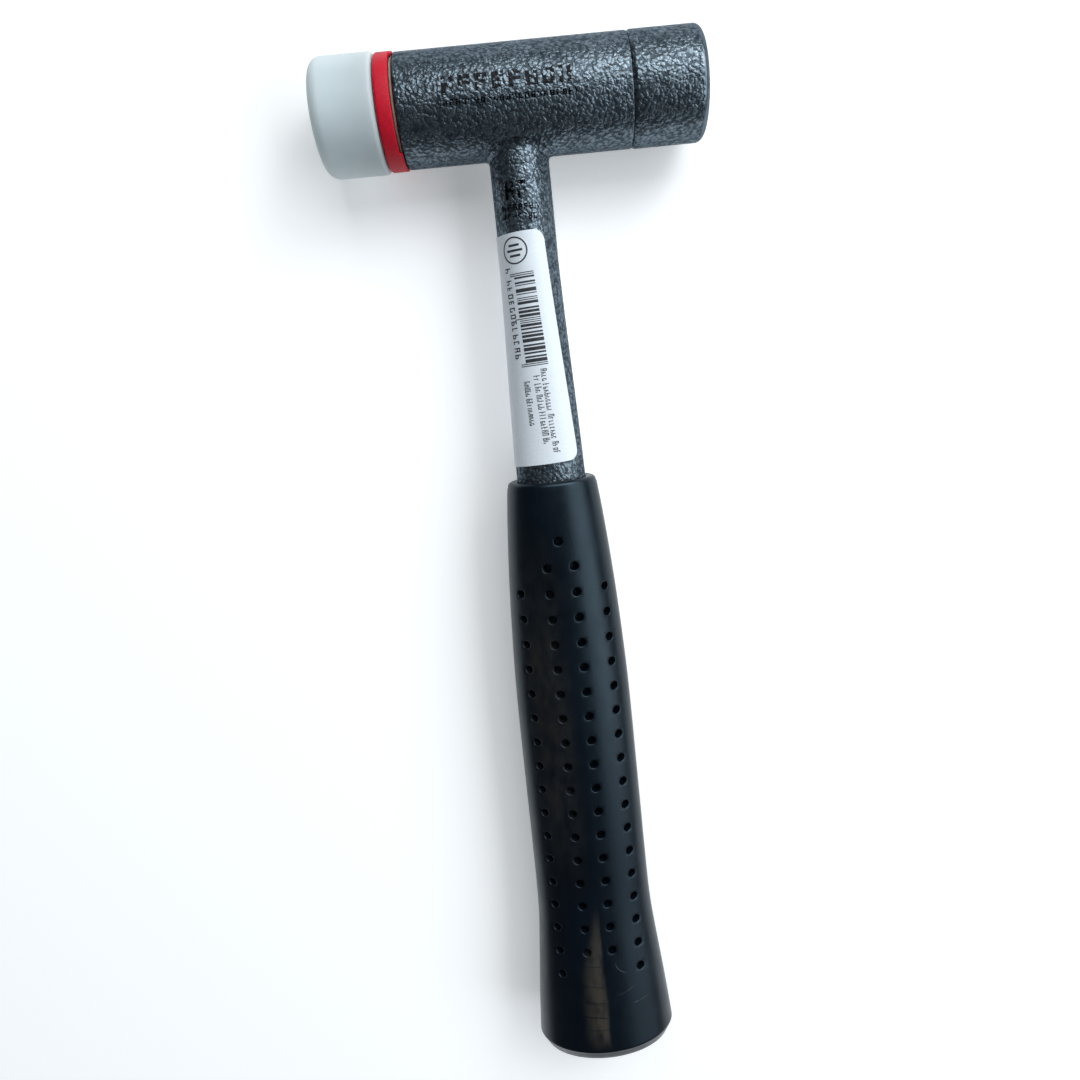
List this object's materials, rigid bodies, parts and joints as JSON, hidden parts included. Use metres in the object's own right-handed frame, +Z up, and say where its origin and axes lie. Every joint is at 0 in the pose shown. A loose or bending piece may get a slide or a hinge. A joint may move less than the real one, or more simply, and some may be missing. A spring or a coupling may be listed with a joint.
{
  "type": "recoilless soft-face hammer",
  "caption": "Small recoilless hammer with a shot-filled tubular steel head, a steel face, a renewable nylon face behind a red ring, and a flattened tube handle in a perforated grip.",
  "frame": {"origin": "on the floor under the middle of the bounding box, with the hammer lying on its side", "axes": "+X along the head from the nylon face to the steel face, +Y from the grip towards the head, +Z up"},
  "size_m": [0.1058, 0.31, 0.0314],
  "materials": {
    "hammertone": "hammertone enamel, blue-grey",
    "nylon": "natural nylon, milky and slightly translucent",
    "red_plastic": "satin red",
    "grip_pvc": "soft black PVC, perforated",
    "label": "coated white sticker, printed in black",
    "fibre": "vulcanised fibre",
    "bare_steel": "bare steel",
    "black_rubber": "moulded"
  },
  "bodies": {
    "hammer": {"head_tube": "hammertone", "strike_cap": "hammertone", "chamber_disc": "bare_steel", "handle_tube": "hammertone", "weld_bead": "hammertone", "handle_plug": "black_rubber", "label": "label", "grip": "grip_pvc"},
    "soft_face": {"nylon_face": "nylon", "face_ring": "red_plastic", "fibre_washer": "fibre", "snap_ring": "black_rubber"},
    "shot": {"shot_charge": "bare_steel"}
  },
  "joints": [
    {"name": "face_pull", "type": "slide", "parent": "hammer", "child": "soft_face", "axis": [-1, 0, 0], "range_m": [0, 0.03]},
    {"name": "shot_slide", "type": "slide", "parent": "hammer", "child": "shot", "axis": [1, 0, 0], "range_m": [-0.003, 0.003]}
  ]
}
